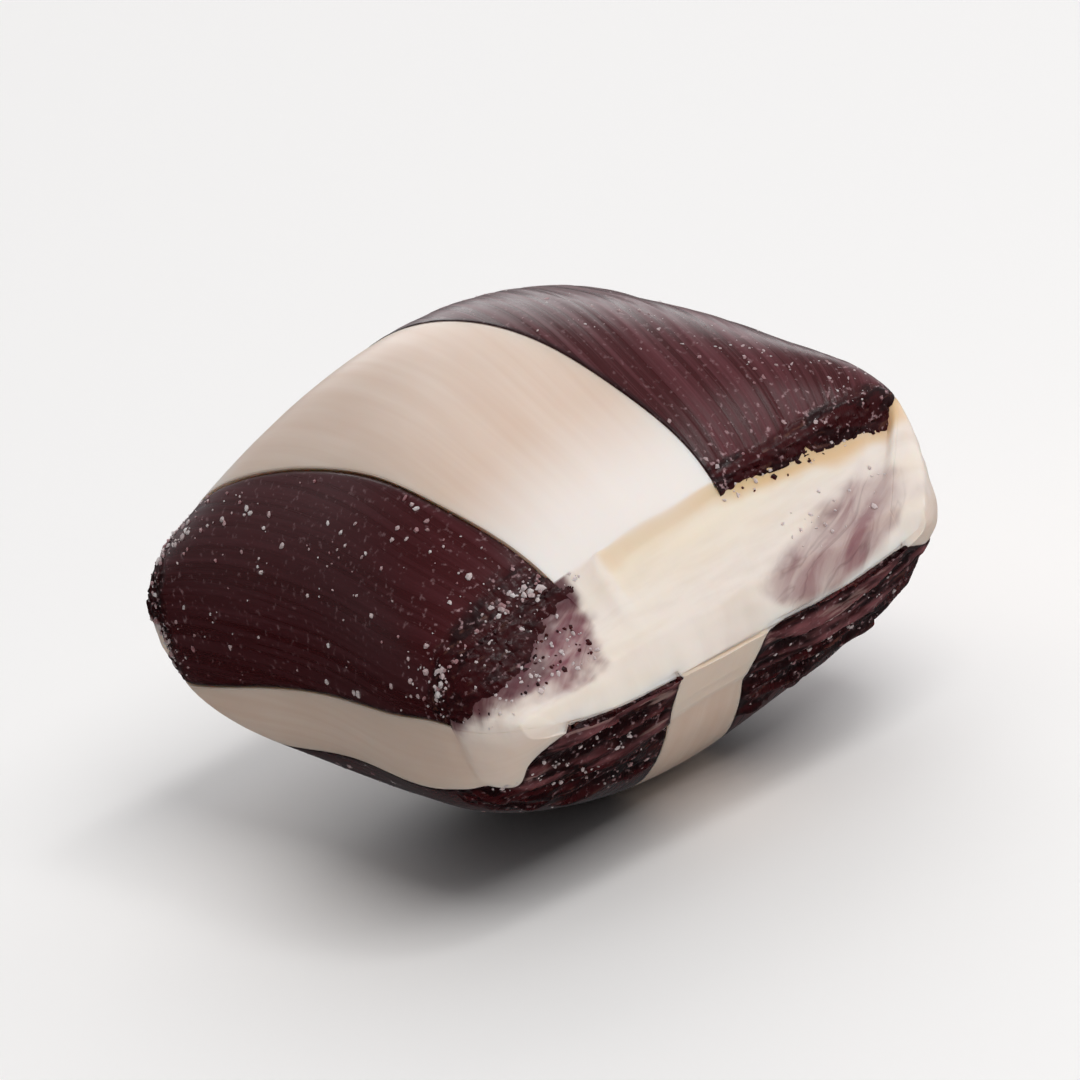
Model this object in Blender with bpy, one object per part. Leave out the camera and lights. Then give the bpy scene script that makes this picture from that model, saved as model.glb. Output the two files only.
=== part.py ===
"""Mint humbug: a pillow of pulled boiled sugar, cut and pinched off at both ends.

The sweet is a short length of sugar rope. White pulled sugar is the body, and dark
stripes of sugar skin lie in it and run from pinch to pinch. Straight blades closed on
the rope at both ends, so each end has a straight crease across it, a lip crushed down
from there, and a blunt broken tip. On the upper side the blades tore the skin off the
lips, so the two upper stripes stop at the creases. The lower ones run on to the tips.

Sizes are in millimetres and become metres where a vertex is placed. x runs along the
rope, y along the pinches and z up. A "turn" is the way round the section as a fraction
of its outline, from the +y side over the top.
"""

import math

import bmesh
import bpy
import numpy as np

MM = 0.001

# The pillow.
TIP_X = 10.4                # centre to the blunt tip, so 20.8 from tip to tip
CREASE_X = 8.3              # centre to the crease where a lip begins
RISE = 8.05                 # top of the dome above the level of the creases' middle
DROP = 7.0                  # bottom of the dome below that level
CREASE_HALF_THICKNESS = 3.17
TIP_RISE = 0.24             # a tip's upper edge above that level
TIP_DROP = 1.13             # and its lower edge below
MID_HALF_WIDTH = 9.1
CREASE_HALF_WIDTH = 8.9
TIP_HALF_WIDTH = 7.5
RISE_POWER = 2.14           # how squarely the dome falls to the crease, above
DROP_POWER = 2.12           # and below
LIP_POWER = 1.15            # over 1 makes the lip hollow
CORNER_POWER = 1.5          # how squarely a lip narrows to its tip
MID_SQUARENESS = 1.9        # section at the middle, where 2 is an ellipse
CREASE_SQUARENESS = 3.5     # section at the creases and lips, nearly a slab
HIGH_CORNER = (7.0, 7.5)    # the +x, +y upper corner: more square by this, at this power
PINCH_WIND = 0.036          # radians that each crease turns round the rope
PINCH_SHIFT = -0.2          # how far the pinches lie to one side of the middle
REST_SPOT_DEPTH = 0.22      # sagged flat on the underside while still warm

# The stripes round the rope, each from one of the borders below to the next, and whether
# it runs on to the tips.
STRIPES = (
    ("dark_stripe_top_right", False),
    ("dark_stripe_top_left", False),
    ("dark_stripe_bottom_left", True),
    ("dark_stripe_bottom_right", True),
)
# The borders between white and dark: turn at the middle of the rope, how much faster than
# the others it winds, and turn at a tip for a stripe that runs on to there.
BORDERS = (
    (0.082, 0.0, 0.082),
    (0.2605, 0.02, 0.2605),
    (0.382, 0.0, 0.382),
    (0.5195, 0.0, 0.5195),
    (0.574, 0.0, 0.537),
    (0.7324, 0.0, 0.677),
    (0.7966, 0.0, 0.779),
    (0.979, 0.0, 0.952),
)
TWIST = 0.0028              # turns that the borders wind back for each millimetre of x
MID_SKIN = 0.9              # thickness of a dark stripe at the middle of the rope
CREASE_SKIN = 0.55          # where a blade has squeezed it
TIP_SKIN = 0.4
GAP = 0.3                   # clearance that keeps each stripe and the body apart
WALL_DRAFT = 0.1            # how far a channel's wall leans in towards its floor
TORN_DRAFT = 0.4            # the same on the torn lips, where the wall runs out

# Unevenness: height, waves round the section, waves along the rope in radians for each
# millimetre, and phase.
SWELLS = (
    (0.05, 2, 0.30, 0.0),
    (0.05, 3, -0.45, 0.74),
    (0.08, 5, 0.62, 0.64),
)
CRUSH = (0.03, 9, 17)       # height of the lips' crushed relief, and its waves round
CREASE_RAG = 0.16           # how far a crease or a torn edge strays along the rope
TIP_RAG = 0.22              # how far a broken tip strays
RAG_WAVES = (3, 7, 13, 21)  # waves round the section in a ragged edge
RIDGE_RUN_OUT = 0.35        # part of the lip over which a white ridge dies away

# The mesh.
FACET = 0.95                # width of a facet round the section
BODY_RINGS = 24             # facets along the rope between the creases
LIP_RINGS = 5               # facets along each lip
TABLE_STEP = 0.05           # spacing along x of the sections worked out beforehand
TABLE_TURNS = 1440          # points round each of them
OUTLINE_STEPS = 2880        # points from which those are spaced evenly
SHARP_ANGLE = 35.0          # degrees over which an edge isn't smoothed

# Kinds of point round the body's section.
WHOLE_FLOOR, TORN_FLOOR, SIDE_BAND, TOP_BAND = range(4)

WHITE_SUGAR = (0.80, 0.71, 0.60, 1.0)
DARK_SUGAR = (0.045, 0.018, 0.020, 1.0)
SATIN_ROUGHNESS = 0.32
GLASSY_ROUGHNESS = 0.25


def section(x):
    """Half width, rise and drop of the section at x."""
    along = abs(x)
    t = min(along / CREASE_X, 1.0)
    u = min(max((along - CREASE_X) / (TIP_X - CREASE_X), 0.0), 1.0)
    if u > 0.0:
        width = TIP_HALF_WIDTH + (CREASE_HALF_WIDTH - TIP_HALF_WIDTH) * (1.0 - u**CORNER_POWER)
        crushed = (1.0 - u) ** LIP_POWER
        rise = TIP_RISE + (CREASE_HALF_THICKNESS - TIP_RISE) * crushed
        drop = TIP_DROP + (CREASE_HALF_THICKNESS - TIP_DROP) * crushed
        return width, rise, drop
    width = MID_HALF_WIDTH - (MID_HALF_WIDTH - CREASE_HALF_WIDTH) * t**2
    rise = RISE - (RISE - CREASE_HALF_THICKNESS) * t**RISE_POWER
    drop = DROP - (DROP - CREASE_HALF_THICKNESS) * t**DROP_POWER
    return width, rise, drop


def outline(x):
    """Points evenly round the section at x, their inward directions, and its length."""
    width, rise, drop = section(x)
    t = min(abs(x) / CREASE_X, 1.0)
    u = min(max((abs(x) - CREASE_X) / (TIP_X - CREASE_X), 0.0), 1.0)
    angle = np.linspace(0.0, 2.0 * math.pi, OUTLINE_STEPS + 1)
    cos, sin = np.cos(angle), np.sin(angle)
    squareness = MID_SQUARENESS + (CREASE_SQUARENESS - MID_SQUARENESS) * t**2
    extra, power = HIGH_CORNER
    high = (cos > 0.0) & (sin > 0.0) & (x > 0.0)
    squareness = squareness + np.where(high, extra * t**power, 0.0)
    y = width * np.sign(cos) * np.abs(cos) ** (2.0 / squareness)
    z = np.where(sin > 0.0, rise, drop) * np.sign(sin) * np.abs(sin) ** (2.0 / squareness)
    way = np.concatenate(([0.0], np.cumsum(np.hypot(np.diff(y), np.diff(z)))))
    turn = np.linspace(0.0, way[-1], TABLE_TURNS + 1)
    y, z = np.interp(turn, way, y), np.interp(turn, way, z)
    y[-1], z[-1] = y[0], z[0]
    dy = np.gradient(np.concatenate((y[-3:-1], y, y[1:3])))[2:-2]
    dz = np.gradient(np.concatenate((z[-3:-1], z, z[1:3])))[2:-2]
    size = np.hypot(dy, dz)
    y = y + PINCH_SHIFT * t**2
    wind = math.copysign(PINCH_WIND, x) * t * (1.0 - u)
    turned = np.array(((math.cos(wind), -math.sin(wind)), (math.sin(wind), math.cos(wind))))
    return turned @ np.array((y, z)), turned @ np.array((-dz, dy)) / size, way[-1]


class Form:
    """The pillow's outer surface, worked out once and then read at any place."""

    def __init__(self):
        steps = 2 * round((TIP_X + 2.0 * TIP_RAG) / TABLE_STEP)
        self.x = (np.arange(steps + 1) - steps / 2) * TABLE_STEP
        rows = [outline(x) for x in self.x]
        self.y, self.z = (np.array([row[0][k] for row in rows]) for k in (0, 1))
        self.inward_y, self.inward_z = (np.array([row[1][k] for row in rows]) for k in (0, 1))
        self.girth = np.array([row[2] for row in rows])
        x, turn = np.meshgrid(self.x, np.linspace(0.0, 1.0, TABLE_TURNS + 1), indexing="ij")
        self.floor = (self.z - swell(x, turn) * self.inward_z).min() + REST_SPOT_DEPTH

    def girth_at(self, x):
        return np.interp(x, self.x, self.girth)

    def read(self, table, x, turn):
        """A table's value at x and turn, blended between the four places round it."""
        row = np.clip((x - self.x[0]) / TABLE_STEP, 0.0, len(self.x) - 1.001)
        column = (turn % 1.0) * TABLE_TURNS
        r, c = row.astype(int), column.astype(int)
        before = table[r, c] + (column - c) * (table[r, c + 1] - table[r, c])
        after = table[r + 1, c] + (column - c) * (table[r + 1, c + 1] - table[r + 1, c])
        return before + (row - r) * (after - before)

    def place(self, x, turn, depth):
        """Positions in millimetres at x and turn, sunk by depth below the surface."""
        sunk = depth - swell(x, turn)
        y = self.read(self.y, x, turn) + sunk * self.read(self.inward_y, x, turn)
        z = self.read(self.z, x, turn) + sunk * self.read(self.inward_z, x, turn)
        return np.stack((x, y, np.maximum(z, self.floor) - self.floor), axis=-1)


def swell(x, turn):
    """Low bulges and hollows of hand-pulled sugar, and the crushed relief of the lips."""
    lip = np.clip((np.abs(x) - CREASE_X) / (TIP_X - CREASE_X), 0.0, 1.0)
    bulges = 0.0
    for height, around, along, phase in SWELLS:
        bulges = bulges + height * np.sin(2.0 * math.pi * around * turn + along * x + phase)
    height, broad, fine = CRUSH
    crush = np.sin(2.0 * math.pi * broad * turn + x) * np.sin(2.0 * math.pi * fine * turn - x)
    return (1.0 - lip) * bulges + height * np.sin(math.pi * lip) * crush


def ragged(turn, seed):
    """A torn edge's stray, from -1 to 1, round the section."""
    phases = np.random.default_rng(seed).uniform(0.0, 2.0 * math.pi, len(RAG_WAVES))
    total = 0.0
    for waves, phase in zip(RAG_WAVES, phases):
        total = total + np.sin(2.0 * math.pi * waves * turn + phase)
    return total / len(RAG_WAVES)


def along_rope(station, turn):
    """x at a station: -2 and 2 are the tips, -1 and 1 the creases, all four ragged."""
    knots = (
        -TIP_X + TIP_RAG * ragged(turn, 1),
        -CREASE_X + CREASE_RAG * ragged(turn, 2),
        CREASE_X + CREASE_RAG * ragged(turn, 3),
        TIP_X + TIP_RAG * ragged(turn, 4),
    )
    lip = np.clip(np.abs(station) - 1.0, 0.0, 1.0)
    middle = knots[1] + (knots[2] - knots[1]) * (np.clip(station, -1.0, 1.0) + 1.0) / 2.0
    tip = np.where(station < 0.0, knots[0], knots[3])
    return middle + (tip - middle) * lip


def skin(station):
    """Thickness of a dark stripe."""
    t = np.minimum(np.abs(station), 1.0)
    lip = np.clip(np.abs(station) - 1.0, 0.0, 1.0)
    return MID_SKIN - (MID_SKIN - CREASE_SKIN) * t**2 - (CREASE_SKIN - TIP_SKIN) * lip


def middle_turn(number):
    """A border's turn at the middle of the rope. Numbers past the last go round again."""
    turns = np.array(BORDERS)[:, 0]
    return turns[number % len(BORDERS)] + number // len(BORDERS)


def border(number, x, station):
    """A border's turn at x. It winds with the rope, and the lower ones spread on the lips."""
    _, extra, tip = np.array(BORDERS)[number % len(BORDERS)].T
    quarter = math.pi / 2.0
    wound = middle_turn(number) - TWIST * x
    wound = wound - extra * np.sin(quarter * np.clip(x / CREASE_X, -1.0, 1.0))
    lip = np.clip(np.abs(station) - 1.0, 0.0, 1.0)
    whole = np.array([runs_on for _, runs_on in STRIPES])[number % len(BORDERS) // 2]
    return np.where(whole, wound + lip * (tip - wound), wound)


def rag_turn(first, last, way, station):
    """The turn that picks an edge's stray, part of the way from one border to another."""
    first, last = middle_turn(first), middle_turn(last)
    return first + (last - first) * way - TWIST * CREASE_X * station


def facets(number):
    """Facets across the stripe or the band from this border to the next."""
    width = (middle_turn(number + 1) - middle_turn(number)) * FORM.girth_at(0.0)
    return max(3, round(width / FACET))


def new_object(name, data, places, material, collection, parent):
    """Moves a primitive's vertices to their places and makes it a smooth named piece.

    The piece has its origin at the middle of its vertices.
    """
    centre = places.mean(axis=0)
    for vertex, place in zip(data.verts, (places - centre) * MM):
        vertex.co = place
    mesh = bpy.data.meshes.new(name)
    data.to_mesh(mesh)
    data.free()
    mesh.shade_smooth()
    mesh.set_sharp_from_angle(angle=math.radians(SHARP_ANGLE))
    mesh.materials.append(material)
    piece = bpy.data.objects.new(name, mesh)
    piece.location = centre * MM
    piece.parent = parent
    collection.objects.link(piece)
    return piece


def body_profile():
    """The body's section, a point at a time, from the first stripe over the top.

    Each point has the border before it, the way from there to the next border, and its
    kind: a channel's floor, or a white band that shows.
    """
    profile = []
    for index, (_, whole) in enumerate(STRIPES):
        _, next_whole = STRIPES[(index + 1) % len(STRIPES)]
        floor = WHOLE_FLOOR if whole else TORN_FLOOR
        band = SIDE_BAND if whole or next_whole else TOP_BAND
        for number, kind in ((2 * index, floor), (2 * index + 1, band)):
            cuts = facets(number)
            profile += [(number, cut / cuts, kind) for cut in range(cuts + 1)]
    return [np.array(column) for column in zip(*profile)]


def body_depth(station, kind):
    """Depth of the body below the pillow's surface: channels, and the torn lips above."""
    lip = np.clip(np.abs(station) - 1.0, 0.0, 1.0)
    torn = (CREASE_SKIN + GAP) * (1.0 - lip) ** 2
    ridge = np.clip(lip / RIDGE_RUN_OUT, 0.0, 1.0)
    whole_floor = skin(station) + GAP
    torn_floor = np.where(lip > 0.0, torn, whole_floor)
    return np.choose(kind, (whole_floor, torn_floor, 0.0 * torn, torn * ridge))


def make_body(material, collection, parent):
    """A cylinder cut into rings and reshaped: white outside, with a channel for each stripe."""
    number, way, kind = body_profile()
    points = len(kind)
    stations = np.concatenate(
        (
            np.linspace(-2.0, -1.0, LIP_RINGS + 1)[:-1],
            np.linspace(-1.0, 1.0, BODY_RINGS + 1),
            np.linspace(1.0, 2.0, LIP_RINGS + 1)[1:],
        )
    )
    rings = len(stations) - 1
    data = bmesh.new()
    bmesh.ops.create_cone(
        data, cap_ends=True, segments=points, radius1=1.0, radius2=1.0, depth=2.0
    )
    lengthwise = [edge for edge in data.edges if abs(edge.verts[0].co.z - edge.verts[1].co.z) > 1.0]
    bmesh.ops.subdivide_edges(data, edges=lengthwise, cuts=rings - 1, use_grid_fill=True)

    co = np.array([vertex.co for vertex in data.verts])
    clockwise = np.arctan2(co[:, 0], co[:, 1]) / (2.0 * math.pi) * points
    around = -np.round(clockwise).astype(int) % points
    station = stations[np.round((co[:, 2] + 1.0) / 2.0 * rings).astype(int)]
    number, way, kind = (column[around] for column in (number, way, kind))

    x = along_rope(station, rag_turn(number, number + 1, way, station))
    start, end = border(number, x, station), border(number + 1, x, station)
    edge = GAP / 2.0 / FORM.girth_at(x)
    torn = (np.abs(station) > 1.0) & (kind == TORN_FLOOR)
    draft = np.where(torn, TORN_DRAFT, WALL_DRAFT) / FORM.girth_at(x)
    inset = np.where(kind <= TORN_FLOOR, draft - edge, edge)
    turn = start + inset + (end - start - 2.0 * inset) * way
    places = FORM.place(x, turn, body_depth(station, kind))
    return new_object("white_body", data, places, material, collection, parent)


def make_stripe(name, number, whole, material, collection, parent):
    """A box cut into a grid and bent to the pillow: one dark stripe, lying in its channel."""
    across = facets(number)
    stations = np.linspace(-1.0, 1.0, BODY_RINGS + 1)
    if whole:
        lip = np.linspace(1.0, 2.0, LIP_RINGS + 1)[1:]
        stations = np.concatenate((-lip[::-1], stations, lip))
    rings = len(stations) - 1
    data = bmesh.new()
    bmesh.ops.create_cube(data, size=2.0)
    for axis, cuts in ((0, rings - 1), (1, across - 1)):
        edges = [e for e in data.edges if abs(e.verts[0].co[axis] - e.verts[1].co[axis]) > 1.0]
        bmesh.ops.subdivide_edges(data, edges=edges, cuts=cuts, use_grid_fill=True)

    co = np.array([vertex.co for vertex in data.verts])
    station = stations[np.round((co[:, 0] + 1.0) / 2.0 * rings).astype(int)]
    way = (1.0 - co[:, 1]) / 2.0
    inner = co[:, 2] < 0.0
    x = along_rope(station, rag_turn(number, number + 1, way, station))
    number = np.full(len(co), number)
    start, end = border(number, x, station), border(number + 1, x, station)
    inset = (GAP / 2.0 + np.where(inner, WALL_DRAFT, 0.0)) / FORM.girth_at(x)
    turn = start + inset + (end - start - 2.0 * inset) * way
    places = FORM.place(x, turn, np.where(inner, skin(station), 0.0))
    return new_object(name, data, places, material, collection, parent)


def sugar(name, colour, roughness):
    """Boiled sugar: glassy, with a faint satin from pulling and handling."""
    material = bpy.data.materials.new(name)
    material.use_nodes = True
    shader = material.node_tree.nodes["Principled BSDF"]
    shader.inputs["Base Color"].default_value = colour
    shader.inputs["Roughness"].default_value = roughness
    shader.inputs["Metallic"].default_value = 0.0
    return material


def stand_centred(pieces, parent):
    """Puts the origin under the middle of the sweet's box."""
    lows = []
    highs = []
    for piece in pieces:
        corners = np.array([vertex.co + piece.location for vertex in piece.data.vertices])
        lows.append(corners.min(axis=0))
        highs.append(corners.max(axis=0))
    low, high = np.min(lows, axis=0), np.max(highs, axis=0)
    parent.location = (-(low[0] + high[0]) / 2.0, -(low[1] + high[1]) / 2.0, -low[2])


def main():
    for old in list(bpy.data.objects):
        bpy.data.objects.remove(old, do_unlink=True)
    collection = bpy.data.collections.new("mint_humbug")
    bpy.context.scene.collection.children.link(collection)
    sweet = bpy.data.objects.new("mint_humbug", None)
    collection.objects.link(sweet)
    white = sugar("white_pulled_sugar", WHITE_SUGAR, SATIN_ROUGHNESS)
    dark = sugar("dark_boiled_sugar", DARK_SUGAR, GLASSY_ROUGHNESS)
    pieces = [make_body(white, collection, sweet)]
    for index, (name, whole) in enumerate(STRIPES):
        pieces.append(make_stripe(name, 2 * index, whole, dark, collection, sweet))
    stand_centred(pieces, sweet)


FORM = Form()
main()
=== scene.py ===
import math

import bmesh
import bpy
import numpy as np
from mathutils import Matrix, Vector, noise


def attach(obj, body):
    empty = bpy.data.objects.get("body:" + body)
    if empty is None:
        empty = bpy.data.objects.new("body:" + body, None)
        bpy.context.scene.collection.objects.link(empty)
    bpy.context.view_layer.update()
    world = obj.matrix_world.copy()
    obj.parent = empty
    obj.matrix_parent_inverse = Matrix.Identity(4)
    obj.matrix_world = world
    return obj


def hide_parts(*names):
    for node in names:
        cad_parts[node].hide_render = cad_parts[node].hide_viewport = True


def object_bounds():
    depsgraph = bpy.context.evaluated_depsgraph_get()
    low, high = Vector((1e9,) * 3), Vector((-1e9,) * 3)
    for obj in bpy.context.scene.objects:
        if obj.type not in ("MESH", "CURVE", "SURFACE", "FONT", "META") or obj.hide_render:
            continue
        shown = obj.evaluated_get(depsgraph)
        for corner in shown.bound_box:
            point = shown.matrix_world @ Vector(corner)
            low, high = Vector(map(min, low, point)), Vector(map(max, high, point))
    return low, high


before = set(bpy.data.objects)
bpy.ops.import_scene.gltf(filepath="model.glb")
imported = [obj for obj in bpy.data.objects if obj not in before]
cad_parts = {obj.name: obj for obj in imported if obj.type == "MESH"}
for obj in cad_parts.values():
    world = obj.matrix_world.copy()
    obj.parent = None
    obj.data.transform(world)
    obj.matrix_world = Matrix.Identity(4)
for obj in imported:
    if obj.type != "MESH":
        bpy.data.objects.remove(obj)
cad_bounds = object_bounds()

# ------------------------ white pulled sugar body
# A short length of rope made of boiled sugar, which was pulled until fine air bubbles turned
# it a satin white. Two straight blades closed on it at each end, and left a crease, a crushed
# lip and a broken tip there. Four channels in its outside hold stripes of dark sugar.

MM = 0.001
TIP_X = 10.4  # centre to the blunt tip
CREASE_X = 8.3  # centre to the crease where a lip begins
RISE = 8.05  # top of the dome above the level of the creases' middle
DROP = 7.0  # bottom of the dome below that level
CREASE_HALF_THICKNESS = 3.17
TIP_RISE = 0.24  # a tip's upper edge above that level
TIP_DROP = 1.13  # and its lower edge below
MID_HALF_WIDTH = 9.1
CREASE_HALF_WIDTH = 8.9
TIP_HALF_WIDTH = 7.5
RISE_POWER = 2.14
DROP_POWER = 2.12
LIP_POWER = 1.15
CORNER_POWER = 1.5
MID_SQUARENESS = 1.9
CREASE_SQUARENESS = 3.5
HIGH_CORNER = (7.0, 7.5)  # the +x, +y upper corner: more square by this, at this power
PINCH_WIND = 0.036  # radians that each crease turns round the rope
PINCH_SHIFT = -0.2  # how far the pinches lie to one side of the middle
REST_SPOT_DEPTH = 0.22
# Swells: height, number round the rope, radians along it for each millimetre, and phase.
SWELLS = ((0.05, 2, 0.30, 0.0), (0.05, 3, -0.45, 0.74), (0.08, 5, 0.62, 0.64))
CREASE_RAG = 0.07
TIP_RAG = 0.12
RAG_WAVES = (3, 7, 13, 21)
MID_SKIN = 0.9  # thickness of the dark stripes at the middle of the rope
CREASE_SKIN = 0.55  # and at the creases
TIP_SKIN = 0.4  # and at the tips
GAP = 0.3  # clearance under a stripe, which doesn't show

# The borders between white and dark sugar: turn round the rope from the +y side over the
# top, how much faster than the others it winds, and turn at a tip for a lower one.
BORDERS = (
    (0.082, 0.0, 0.082),
    (0.2605, 0.02, 0.2605),
    (0.382, 0.0, 0.382),
    (0.5195, 0.0, 0.5195),
    (0.574, 0.0, 0.537),
    (0.7324, 0.0, 0.677),
    (0.7966, 0.0, 0.779),
    (0.979, 0.0, 0.952),
)
TWIST = 0.0028  # turns that the borders wind back for each millimetre of x
JOGGED_BORDER = 4  # the blades pushed this border aside on the lips
JOG = 0.02  # by this many turns

# Each stripe: name, whether it runs on to the tips, how proud it stands, the height of its
# ribs, how far the cracks at its end reach, and the radius of its edges at its start and end.
STRIPES = (
    ("dark_stripe_top_right", False, 0.03, 0.020, 0.35, 0.10, 0.06),
    ("dark_stripe_top_left", False, -0.03, 0.004, 0.9, 0.22, 0.10),
    ("dark_stripe_bottom_left", True, 0.0, 0.007, 0.5, 0.10, 0.08),
    ("dark_stripe_bottom_right", True, 0.0, 0.008, 0.5, 0.08, 0.10),
)

TABLE_STEP = 0.05  # along x, in the table that holds the rope's surface
TABLE_TURNS = 1440  # and its steps round the rope
OUTLINE_STEPS = 2880
ROPE_RADIUS = 8.3  # of the round rope, before it was pinched


def down_lip(x):
    """0 as far as a crease, and 1 at a tip."""
    return np.clip((np.abs(x) - CREASE_X) / (TIP_X - CREASE_X), 0.0, 1.0)


def outline(x):
    """Points evenly round the section at x, their inward directions, and its length."""
    t, u = min(abs(x) / CREASE_X, 1.0), down_lip(x)
    crushed = 1.0 - (1.0 - u) ** LIP_POWER
    width = MID_HALF_WIDTH - (MID_HALF_WIDTH - CREASE_HALF_WIDTH) * t**2
    width = width - (CREASE_HALF_WIDTH - TIP_HALF_WIDTH) * u**CORNER_POWER
    rise = RISE - (RISE - CREASE_HALF_THICKNESS) * t**RISE_POWER
    rise = rise - (CREASE_HALF_THICKNESS - TIP_RISE) * crushed
    drop = DROP - (DROP - CREASE_HALF_THICKNESS) * t**DROP_POWER
    drop = drop - (CREASE_HALF_THICKNESS - TIP_DROP) * crushed
    angle = np.linspace(0.0, 2.0 * math.pi, OUTLINE_STEPS + 1)
    cos, sin = np.cos(angle), np.sin(angle)
    squareness = MID_SQUARENESS + (CREASE_SQUARENESS - MID_SQUARENESS) * t**2
    extra, power = HIGH_CORNER
    high = (cos > 0.0) & (sin > 0.0) & (x > 0.0)
    squareness = squareness + np.where(high, extra * t**power, 0.0)
    y = width * np.sign(cos) * np.abs(cos) ** (2.0 / squareness)
    z = np.where(sin > 0.0, rise, drop) * np.sign(sin) * np.abs(sin) ** (2.0 / squareness)
    way = np.concatenate(([0.0], np.cumsum(np.hypot(np.diff(y), np.diff(z)))))
    turn = np.linspace(0.0, way[-1], TABLE_TURNS + 1)
    y, z = np.interp(turn, way, y), np.interp(turn, way, z)
    y[-1], z[-1] = y[0], z[0]
    dy, dz = (np.gradient(np.concatenate((v[-3:-1], v, v[1:3])))[2:-2] for v in (y, z))
    size = np.hypot(dy, dz)
    y = y + PINCH_SHIFT * t**2
    wind = math.copysign(PINCH_WIND, x) * t * (1.0 - u)
    turned = np.array(((math.cos(wind), -math.sin(wind)), (math.sin(wind), math.cos(wind))))
    return turned @ np.array((y, z)), turned @ np.array((-dz, dy)) / size, way[-1]


def swell(x, turn):
    """Low bulges and hollows of hand-pulled sugar, which run out along the lips."""
    bulges = 0.0
    for height, around, along, phase in SWELLS:
        bulges = bulges + height * np.sin(2.0 * math.pi * around * turn + along * x + phase)
    return (1.0 - down_lip(x)) * bulges


class Rope:
    """The pinched rope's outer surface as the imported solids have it, in millimetres."""

    def __init__(self):
        steps = 2 * round((TIP_X + 4.0 * TIP_RAG) / TABLE_STEP)
        self.x = (np.arange(steps + 1) - steps / 2) * TABLE_STEP
        places, inward, self.girth = zip(*[outline(x) for x in self.x])
        self.table = np.moveaxis(np.concatenate((places, inward), axis=1), 1, 2)
        x, turn = np.meshgrid(self.x, np.linspace(0.0, 1.0, TABLE_TURNS + 1), indexing="ij")
        z, inward_z = self.table[..., 1], self.table[..., 3]
        self.floor = (z - swell(x, turn) * inward_z).min() + REST_SPOT_DEPTH

    def girth_at(self, x):
        return np.interp(x, self.x, self.girth)

    def read(self, x, turn):
        """y, z, and the y and z of the way in, blended between the four places round it."""
        row = np.clip((x - self.x[0]) / TABLE_STEP, 0.0, len(self.x) - 1.001)
        column = (turn % 1.0) * TABLE_TURNS
        r, c = row.astype(int), column.astype(int)
        over, down = (column - c)[..., None], (row - r)[..., None]
        here, below = (
            self.table[k, c] + over * (self.table[k, c + 1] - self.table[k, c]) for k in (r, r + 1)
        )
        return np.moveaxis(here + down * (below - here), -1, 0)


rope = Rope()


def ragged(turn, seed):
    """A torn edge's stray, from -1 to 1, round the section."""
    phases = np.random.default_rng(seed).uniform(0.0, 2.0 * math.pi, len(RAG_WAVES))
    total = 0.0
    for waves, phase in zip(RAG_WAVES, phases):
        total = total + np.sin(2.0 * math.pi * waves * turn + phase) / math.sqrt(waves)
    return total / sum(1.0 / math.sqrt(waves) for waves in RAG_WAVES)


# A station is the way along the rope: -1 and 1 are the creases, -2 and 2 the edges of the
# tips, and -3 and 3 the line along the middle of each broken tip.
LIP_LENGTH = 3.6  # down a lip's slope, from crease to tip
NOSE_LENGTH = 1.1  # from a tip's edge to the line along its middle
WORN_LIP_LENGTH = 3.0  # the lip's length, as the wear of a crease takes it
TIP_SLANT = 0.28  # a tip's upper edge lies this far back from its lower one
NOSE_BULGE = 0.03  # the middle of a tip stands out this much
NOSE_LEVEL = -0.86  # height of the line where a tip's two sides meet
NOSE_END_LEVEL = -0.35  # and its height at either end of that line
SOFT_EDGE = (0.11, 0.34)  # how deep and how wide the upper edge of a tip is worn round
SOFT_LOWER_EDGE = (0.15, 0.5)  # and its lower edge
SOFT_CREASE = (0.13, 0.5)  # and the creases at the sides and underneath


def smooth(value):
    """From 0 to 1 with no corner at either end."""
    t = np.clip(value, 0.0, 1.0)
    return t * t * (3.0 - 2.0 * t)


def hump(offset, reach):
    """1 at no offset, and 0 from about twice the reach on."""
    return np.exp(-((offset / reach) ** 2))


def upper_side(turn):
    """1 on the upper side, 0 underneath, and soft over 0.04 of a turn between."""
    from_top = np.abs((turn + 0.25) % 1.0 - 0.5)
    return smooth((0.27 - from_top) / 0.04)


def lip_at(station):
    """0 as far as a crease, and 1 at the edge of a tip."""
    return np.clip(np.abs(station) - 1.0, 0.0, 1.0)


def nose_at(station):
    """0 as far as the edge of a tip, and 1 at the line along its middle."""
    return np.clip(np.abs(station) - 2.0, 0.0, 1.0)


def along_rope(station, turn):
    """x at a station, with ragged creases and tips."""
    tip = TIP_X - TIP_SLANT * upper_side(turn)
    knots = (
        -tip + TIP_RAG * ragged(turn, 1),
        -CREASE_X + CREASE_RAG * ragged(turn, 2),
        CREASE_X + CREASE_RAG * ragged(turn, 3),
        tip + TIP_RAG * ragged(turn, 4),
    )
    middle = knots[1] + (knots[2] - knots[1]) * (np.clip(station, -1.0, 1.0) + 1.0) / 2.0
    end = np.where(station < 0.0, knots[0], knots[3])
    return middle + (end - middle) * lip_at(station)


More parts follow.
